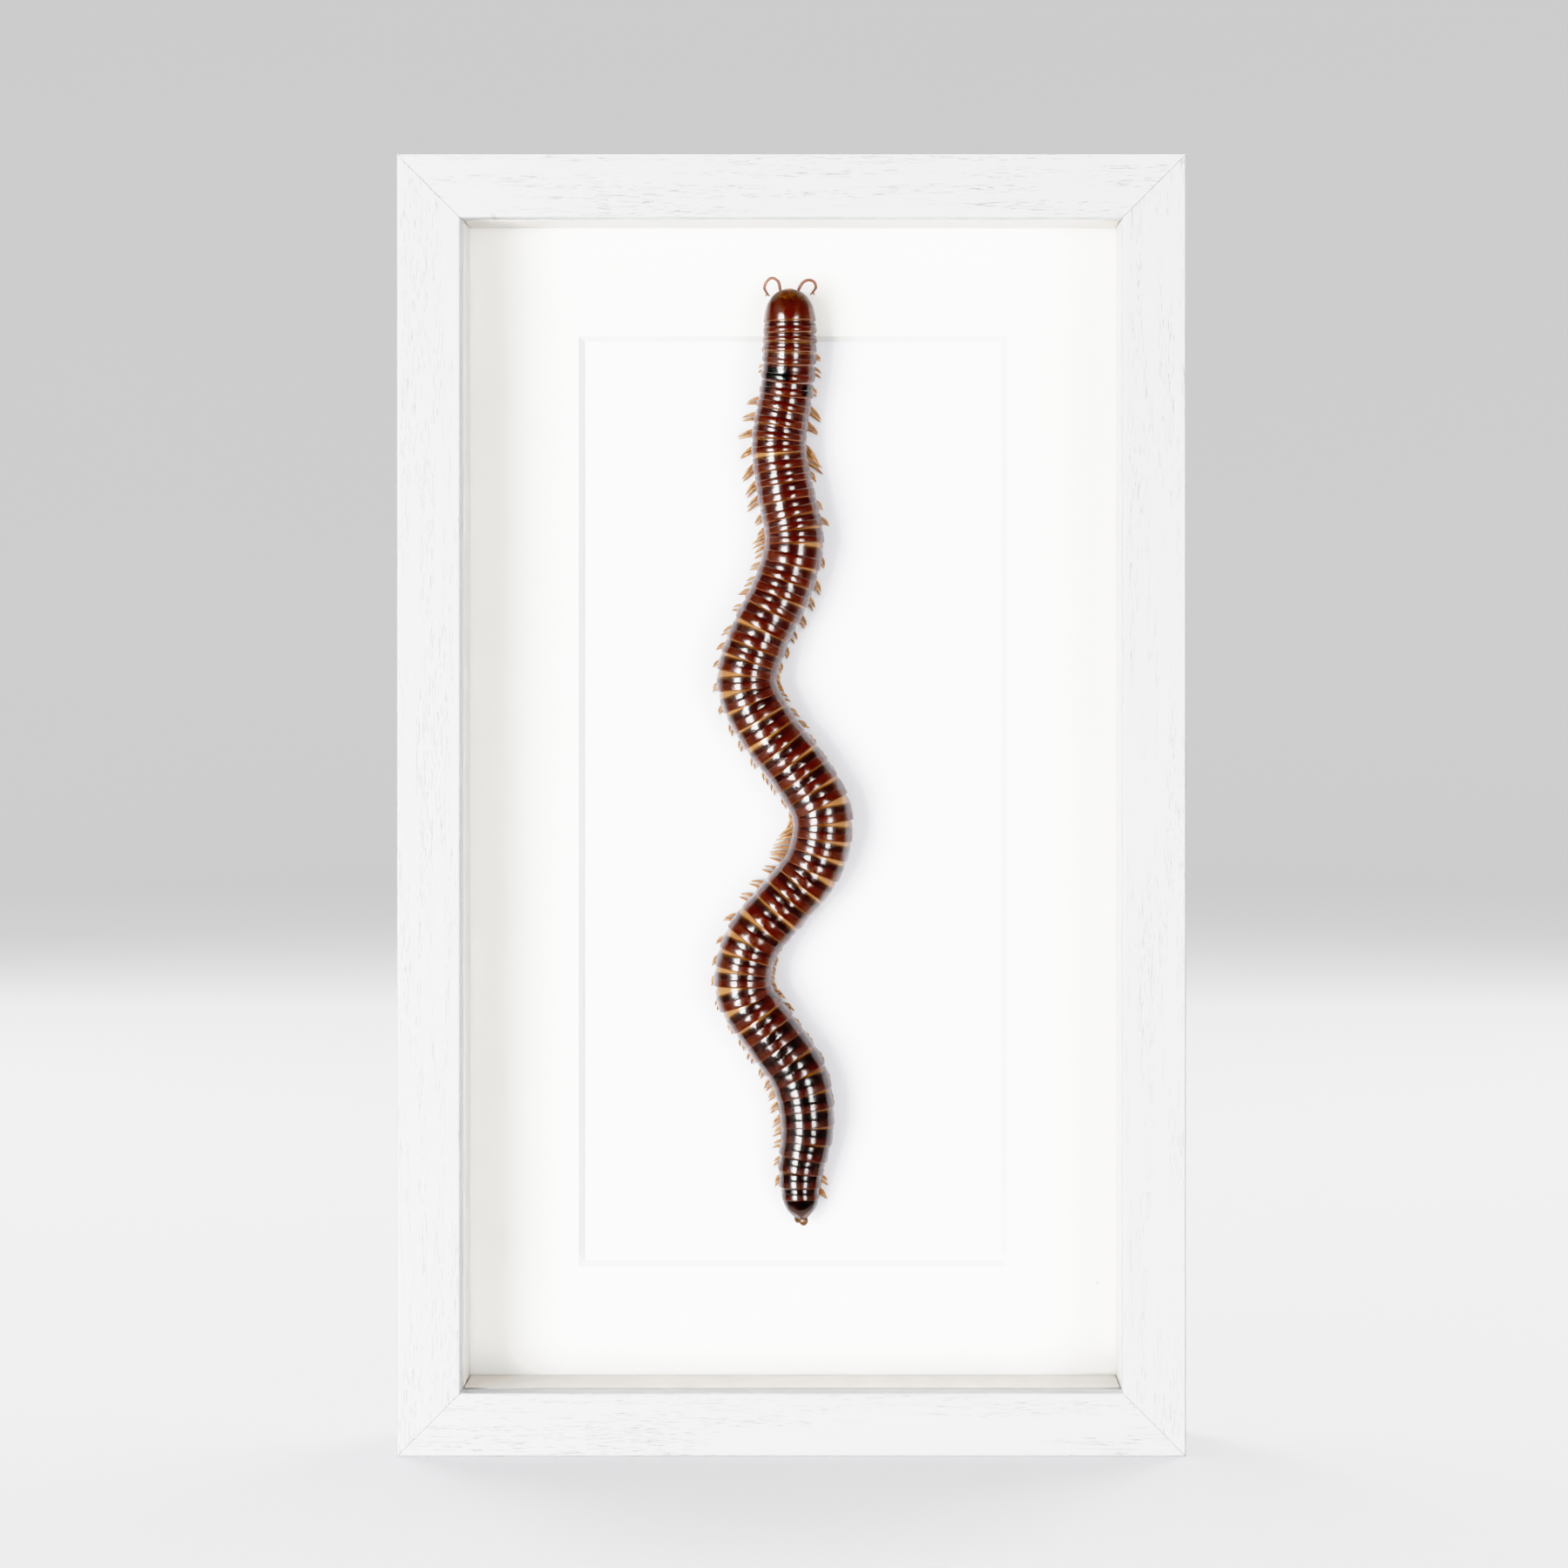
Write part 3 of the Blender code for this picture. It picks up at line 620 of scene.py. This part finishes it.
def millipede_body(path, edges):
    """The head shield, the rings and the tapering end as overlapping shells, with two end lobes."""
    skin = Skin()
    rng = np.random.default_rng(SEED)

    hind, width = HEAD_WIDTH[-1]
    band = ring_profile(SHIELD_BAND, width, SHIELD_ARCH, width)[:SHIELD_ROWS]
    rim = [(hind / 2 - t, r, r) for t, r in band]
    spots = hind - SHIELD_FROM - (hind - SHIELD_FROM - SHIELD_TO) * np.linspace(0, 1, 26) ** 0.85
    shield = [(s - hind / 2, smooth_table(HEAD_WIDTH, s), smooth_table(HEAD_HEIGHT, s)) for s in spots]
    nose = [(shield[-1][0] - step, half, height) for step, half, height in NOSE]
    boxy = [1.0] * len(rim) + [from_table(HEAD_BOXY, s) for s in spots] + [HEAD_BOXY[0][1]] * len(nose)
    sizes = rim + shield + nose
    values = ring_values([hind / 2 - tail for tail, _, _ in sizes], hind, hind, NO_PALE)
    skin.tube(ring_loops(Station(path, hind / 2), sizes, boxy), values, end_cap=True)

    ahead = width - SHIELD_ARCH
    for ring, (start, end) in enumerate(zip(edges, edges[1:]), 1):
        pitch, station = end - start, Station(path, (start + end) / 2)
        radius = from_table(BODY_RADIUS, end)
        arch = from_table(ARCHED, end) * SUTURE_SHARE * pitch * rng.uniform(0.8, 1.2)
        pale = WIDE_PALE.get(ring, from_table(PALE, end) + rng.uniform(-0.1, 0.1))
        profile = ring_profile(pitch, radius, arch, ahead)
        sizes = []
        for t, r in profile:
            fill = FLANK * (radius - r) if 0.3 < t < pitch - 0.5 else 0
            sizes.append((pitch / 2 - t, r + fill, r))
        skin.tube(ring_loops(station, sizes), ring_values([t for t, _ in profile], pitch, end, pale))
        ahead = radius - arch

    last = Station(path, edges[-1])
    spots = np.linspace(TAIL_RADIUS[0][0], TAIL_RADIUS[-1][0], 14)
    cone = [(s - edges[-1], smooth_table(TAIL_RADIUS, s)) for s in spots]
    rows = [TAIL_ROOT, *cone, (cone[-1][0] - 0.1, 0.9)]
    values = ring_values(np.linspace(*CONE_BAND, len(rows)), CONE_PITCH, CONE_END, NO_PALE)
    skin.tube(ring_loops(last, [(tail, r, r) for tail, r in rows]), values)
    spots = np.linspace(TAIL_LOBE[0][0], TAIL_LOBE[-1][0], 12)
    lobe = [(s - edges[-1], smooth_table(TAIL_LOBE, s)) for s in spots]
    values = ring_values(np.full(len(lobe), LOBE_BAND), LOBE_PITCH, LOBE_END, 0.0)
    for aside, back, size in LOBES:
        loops = ring_loops(last, [(tail + back, r * size, r * size) for tail, r in lobe])
        skin.tube([loop + aside * last.right for loop in loops], values, end_cap=True)
    return skin


def smooth_table(table, s):
    """Reads a table as from_table does, with the corners between its rows rounded off."""
    reach = 0.35
    return float(np.mean([from_table(table, s + k * reach) for k in (-1, -0.5, 0, 0.5, 1)]))


def tube_round(points, radii, sides):
    """Loops of points round a line through space."""
    points = np.array(points)
    ways = np.gradient(points, axis=0)
    loops = []
    side = np.cross(ways[0], (0.3, 1, 0.2))
    for point, way, r in zip(points, ways, radii):
        way = way / np.linalg.norm(way)
        side = side - way * (side @ way)
        side /= np.linalg.norm(side)
        other = np.cross(way, side)
        turns = 2 * math.pi * np.arange(sides) / sides
        loops.append(point + r * (np.outer(np.cos(turns), side) + np.outer(np.sin(turns), other)))
    return loops


def space_curve(knots, count):
    """Count points at even spacing on a smooth curve through points in space."""
    knots = np.array(knots, float)
    knots = np.vstack([2 * knots[0] - knots[1], knots, 2 * knots[-1] - knots[-2]])
    shares = np.arange(12)[:, None] / 12
    dense = [spline(*four, shares) for four in zip(knots, knots[1:], knots[2:], knots[3:])]
    dense = np.vstack([*dense, knots[-2:-1]])
    lengths = np.concatenate([[0], np.cumsum(np.linalg.norm(np.diff(dense, axis=0), axis=1))])
    spots = np.linspace(0, lengths[-1], count)
    return np.stack([np.interp(spots, lengths, dense[:, k]) for k in range(3)], axis=1)


def limb(skin, knots, count, root_r, tip_r, joints, sides, blunt=False):
    """A jointed limb: each segment starts narrow and widens to its end."""
    points = space_curve(knots, count)
    u = np.linspace(0, 1, count)
    bead = (u * joints) % 1
    radii = (root_r + (tip_r - root_r) * u**3.2) * (0.82 + 0.25 * np.sqrt(bead))
    radii[-1] = 0.12 if blunt else 0.03
    loops = tube_round(points, radii, sides)
    skin.tube(loops, {"bead": bead[:, None], "along": u[:, None]}, start_cap=True, end_cap=True)


def legs(path, edges):
    """Two pairs of legs on each ring, one on the first few, with their tips swept to the tail."""
    skin = Skin()
    rng = np.random.default_rng(SEED + 1)
    for ring, (start, end) in enumerate(zip(edges, edges[1:]), 1):
        place = Station(path, (start + end) / 2)
        spots = (-0.17, 0.17) if ring > 3 else (0.0,)
        for side, table, special in ((1, RIGHT_REACH, RIGHT_LEGS), (-1, LEFT_REACH, LEFT_LEGS)):
            reach = from_table(table, place.s) * rng.uniform(0.8, 1.1)
            sweep = LEG_SWEEP * rng.uniform(0.7, 1.35)
            reach, sweep = special.get(ring, (reach, sweep))
            spread = rng.uniform(0.3, 1.0)
            for spot in spots:
                lie = place.radius, reach * rng.uniform(0.88, 1.05), sweep * rng.uniform(0.9, 1.1)
                line = leg_line(place, side, spot * (end - start), *lie, spread)
                limb(skin, line, count=17, root_r=LEG_R, tip_r=0.09, joints=7, sides=LEG_SIDES)
    return skin


def leg_line(place, side, root, radius, reach, sweep, spread):
    """A leg's line from under the body out to its tip, just off the board."""
    floor = -(BELLY * radius + STANCE)
    lean = sweep - root * (1 - spread)
    knots = (
        (0.20 * radius, 0.5, 0.0),
        (0.55 * radius, 0.62, -0.1 * lean),
        (0.85 * radius + 0.1 * reach, 0.95, 0.02 * lean),
        (radius + 0.35 * reach, 1.15, 0.36 * lean),
        (radius + 0.75 * reach, 0.75, 0.76 * lean),
        (radius + reach, 0.05, lean),
    )
    right, up, tail = np.array(knots).T
    return place.points(side * right, floor + up, root + tail)


def antennae():
    """Two jointed feelers that hook outwards, their clubbed ends turned down to the mat."""
    skin = Skin()
    depth = axis_depth(0, from_table(BODY_RADIUS, 0))
    for points in (RIGHT_ANTENNA, LEFT_ANTENNA):
        knots = [(x, y_at(depth + drop), z) for (x, z), drop in zip(points, ANTENNA_DROPS)]
        limb(skin, knots, count=57, root_r=ANTENNA_R, tip_r=0.34, joints=7, sides=12, blunt=True)
        end = np.array(knots[-1])
        for spread in (-0.35, 0.35):
            claw = [end, end + (spread, 0.15, -0.25), end + (1.6 * spread, 0.3, -0.62)]
            limb(skin, claw, count=7, root_r=0.24, tip_r=0.08, joints=1, sides=8)
    return skin


def tab(node, material):
    """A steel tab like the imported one, with a rounded free end and its other end in the wood."""
    low, high = [np.array(corner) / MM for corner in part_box(node)]
    middle, size = (low + high) / 2, high - low
    upright = size[2] > size[0]
    across = 2 if upright else 0
    half_l, half_w = size[across] / 2, size[0 if upright else 2] / 2
    out = math.copysign(1, middle[across] - (FRAME_H / 2 if upright else 0))
    turns = [math.pi * (0.5 + k / 8) for k in range(9)]
    outline = [(-half_l + half_w * (1 + math.cos(a)), half_w * math.sin(a)) for a in turns]
    outline = [(half_l + TAB_ROOT, half_w), *outline, (half_l + TAB_ROOT, -half_w)]
    bm = bmesh.new()
    verts = []
    for along, width in outline:
        x, z = (width, out * along) if upright else (out * along, width)
        verts.append(bm.verts.new(Vector((middle[0] + x, low[1], middle[2] + z)) * MM))
    face = bm.faces.new(verts)
    top = bmesh.ops.extrude_face_region(bm, geom=[face])["geom"]
    raised = [v for v in top if isinstance(v, bmesh.types.BMVert)]
    bmesh.ops.translate(bm, verts=raised, vec=(0, size[1] * MM, 0))
    bmesh.ops.recalc_face_normals(bm, faces=bm.faces)
    mesh = bpy.data.meshes.new(node)
    bm.to_mesh(mesh)
    bm.free()
    mesh.materials.append(material)
    obj = bpy.data.objects.new("steel_" + node, mesh)
    bpy.context.scene.collection.objects.link(obj)
    soften(obj, 0.12)
    attach(obj, "tab_steel", node)


def soften(obj, width, angle=35):
    """Rounds an object's edges a little."""
    bevel = obj.modifiers.new("soft_edges", "BEVEL")
    bevel.width = width * MM
    bevel.segments = 2
    bevel.limit_method = "ANGLE"
    bevel.angle_limit = math.radians(angle)
    bevel.harden_normals = True


def attach(obj, slot, *nodes):
    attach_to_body(obj, "root")
    if nodes:
        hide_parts(*nodes)


def finish_node(obj, material):
    obj.data.materials.clear()
    obj.data.materials.append(material)


def stage():
    """A pale floor that curves up into a wall on every side."""
    bm = bmesh.new()
    curve = [(2.6 + math.sin(a), 1 - math.cos(a)) for a in np.linspace(0, math.pi / 2, 13)]
    profile = [(0, 0), (0.6, 0), (1.6, 0), *curve, (3.6, 3.2)]
    verts = [bm.verts.new((x, 0, z)) for x, z in profile]
    edges = [bm.edges.new(pair) for pair in zip(verts, verts[1:])]
    bmesh.ops.spin(bm, geom=verts + edges, axis=(0, 0, 1), cent=(0, 0, 0), steps=96, angle=2 * math.pi)
    bmesh.ops.remove_doubles(bm, verts=bm.verts, dist=1e-5)
    bmesh.ops.recalc_face_normals(bm, faces=bm.faces)
    mesh = bpy.data.meshes.new("floor")
    bm.to_mesh(mesh)
    bm.free()
    mesh.shade_smooth()
    g = Graph("pale_floor")
    mottle = g.noise(g.place(), 0.004, detail=3.0)
    tone = g.mix(mottle, rgb(0.36, 0.36, 0.365), rgb(0.39, 0.39, 0.39))
    g.finish(Emission_Color=rgb(0.9, 0.9, 0.92), Emission_Strength=0.6)
    mesh.materials.append(g.finish(Base_Color=tone, Roughness=0.9))
    floor = bpy.data.objects.new("floor", mesh)
    bpy.context.scene.collection.objects.link(floor)
    floor.visible_glossy = False
    floor.visible_diffuse = False
    floor.visible_transmission = False
    floor.visible_shadow = False


def panel(name, azimuth, elevation, width, height, radiance):
    """A soft panel aimed at the part, its size given as the angles that it fills."""
    a, e = math.radians(azimuth), math.radians(elevation)
    way = Vector((math.sin(a) * math.cos(e), -math.cos(a) * math.cos(e), math.sin(e)))
    data = bpy.data.lights.new(name, "AREA")
    data.shape = "RECTANGLE"
    data.size = 2 * LIGHT_DISTANCE * math.tan(math.radians(width / 2))
    data.size_y = 2 * LIGHT_DISTANCE * math.tan(math.radians(height / 2))
    data.energy = radiance * math.pi * data.size * data.size_y
    obj = bpy.data.objects.new(name, data)
    obj.location = Vector(AIM) + way * LIGHT_DISTANCE
    obj.rotation_euler = way.to_track_quat("Z", "Y").to_euler()
    bpy.context.scene.collection.objects.link(obj)


def lights():
    for name, aim in PANELS.items():
        panel(name, *aim)
    world = bpy.data.worlds.new("studio")
    world.use_nodes = True
    world.node_tree.nodes["Background"].inputs["Color"].default_value = rgb(0.05, 0.05, 0.052)
    bpy.context.scene.world = world


def tone_curve():
    """Deepens the darkest tones and keeps detail in the whites."""
    view = bpy.context.scene.view_settings
    view.view_transform = "Standard"
    view.use_curve_mapping = True
    curves = view.curve_mapping
    curves.white_level = (WHITE,) * 3
    curve = curves.curves[3]
    curve.points[0].location = (0, 0)
    curve.points[-1].location = (1, TONES[-1][1])
    for light, shown in TONES[:-1]:
        curve.points.new(light / WHITE, shown)
    for point in curve.points:
        point.handle_type = "VECTOR"
    curves.update()


def camera():
    data = bpy.data.cameras.new("camera")
    data.lens = CAMERA_LENS
    data.shift_x, data.shift_y = CAMERA_SHIFT
    obj = bpy.data.objects.new("camera", data)
    obj.location = CAMERA_AT
    obj.rotation_euler.x = math.pi / 2
    bpy.context.scene.collection.objects.link(obj)
    bpy.context.scene.camera = obj


def main():
    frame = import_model()
    nodes = frame["nodes"]

    for along, names in (("X", ("rail_top", "rail_bottom")), ("Z", ("rail_left", "rail_right"))):
        paint = open_grain_paint("white_paint_" + along.lower(), along)
        for name in names:
            finish_node(nodes[name], paint)
            soften(nodes[name], 0.1, angle=50)
    lining = lining_paint()
    for name in ("spacer_top", "spacer_bottom", "spacer_left", "spacer_right"):
        finish_node(nodes[name], lining)
    finish_node(nodes["glass"], clear_glass())
    nodes["glass"].visible_shadow = False
    # The mat's last colour, given for its window's bevel, is painted shade.
    mat = card(
        "mat_card", colour=(0.785, 0.77, 0.75), shade=(0.77, 0.755, 0.735), tooth=0.012,
        bevel_shade_colour=(0.62, 0.61, 0.60),
    )
    finish_node(nodes["window_mat"], mat)
    board = card("white_board", colour=(0.75, 0.745, 0.78), shade=(0.735, 0.73, 0.77), tooth=0.006)
    finish_node(nodes["mounting_board"], board)
    finish_node(nodes["backing_board"], hardboard())
    soften(nodes["backing_board"], 0.2)
    brass = plated(
        "plated_brass", colour=(0.66, 0.47, 0.19), dull=(0.56, 0.38, 0.14), stain=(0.24, 0.15, 0.06),
        along=(1, 0.1, 0.1),
    )
    for name in ("hanger", "rivet_left", "rivet_right"):
        finish_node(nodes[name], brass)
    soften(nodes["hanger"], 0.1)
    steel = plated(
        "tab_steel", colour=(0.56, 0.56, 0.57), dull=(0.45, 0.45, 0.46), stain=(0.22, 0.19, 0.17),
        along=(0.1, 1, 1),
    )
    for k in range(1, 11):
        tab(f"back_tab_{k}", steel)

    path = Path(BODY_PATH)
    edges = [from_table(RING_STATIONS, ring) for ring in range(RING_STATIONS[-1][0] + 1)]
    body = millipede_body(path, edges).build("millipede_body", shell())
    attach(body, "millipede_shell", "millipede")
    amber = limb_shell(
        "leg_shell", pale=(0.46, 0.265, 0.135), deep=(0.27, 0.12, 0.046), joint=(0.10, 0.035, 0.014)
    )
    attach(legs(path, edges).build("millipede_legs", amber), "millipede_shell")
    pink = limb_shell(
        "antenna_shell", pale=(0.29, 0.14, 0.10), deep=(0.16, 0.065, 0.042), joint=(0.05, 0.018, 0.012)
    )
    attach(antennae().build("millipede_antennae", pink), "millipede_shell")

    stage()
    lights()
    tone_curve()
    camera()


main()
